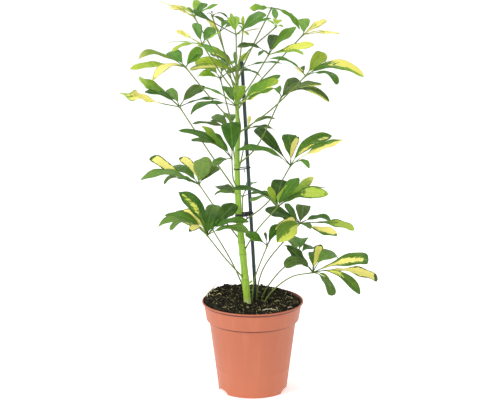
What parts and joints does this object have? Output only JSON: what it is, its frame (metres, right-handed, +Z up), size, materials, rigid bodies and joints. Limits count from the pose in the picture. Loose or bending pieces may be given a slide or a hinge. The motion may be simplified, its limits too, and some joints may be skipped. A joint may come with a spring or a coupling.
{
  "type": "potted umbrella plant",
  "caption": "Variegated dwarf umbrella plant tied to a stake, with palmate leaves on long petioles, in a round tapered nursery pot filled with soil.",
  "frame": {"origin": "middle of the circle that the pot stands on, at the height of the surface it rests on", "axes": "+Z up along the pot's axis; -Y is the front that the reference view looks at; +X to the right in that view"},
  "size_m": [0.4297, 0.3102, 0.6591],
  "materials": {
    "terracotta_plastic": "moulded terracotta-coloured polypropylene, satin, with faint moulding rings",
    "potting_soil": "moist dark peat mix with bark and fibre crumbs, fully matte",
    "green_stem": "smooth yellow-green young bark with pale lenticels, satin",
    "stake_plastic": "dark blue-green coated plant stake, satin",
    "tie_plastic": "dark plastic plant tie, satin",
    "leaf": "glossy green leaflets with cream and yellow variegation, paler matte undersides"
  },
  "bodies": {
    "root": {"pot": "terracotta_plastic", "soil": "potting_soil", "stem": "green_stem", "stake": "stake_plastic", "tie_upper": "tie_plastic", "tie_lower": "tie_plastic", "leaf_01": "leaf", "leaf_02": "leaf", "leaf_03": "leaf", "leaf_04": "leaf", "leaf_05": "leaf", "leaf_06": "leaf", "leaf_07": "leaf", "leaf_08": "leaf", "leaf_09": "leaf", "leaf_10": "leaf", "leaf_11": "leaf", "leaf_12": "leaf", "leaf_13": "leaf", "leaf_14": "leaf", "leaf_15": "leaf", "leaf_16": "leaf", "leaf_17": "leaf", "leaf_18": "leaf", "leaf_19": "leaf", "leaf_20": "leaf", "leaf_21": "leaf", "leaf_22": "leaf", "leaf_23": "leaf", "leaf_24": "leaf", "leaf_25": "leaf", "leaf_26": "leaf", "leaf_27": "leaf", "leaf_28": "leaf", "leaf_29": "leaf", "leaf_30": "leaf"}
  },
  "joints": []
}
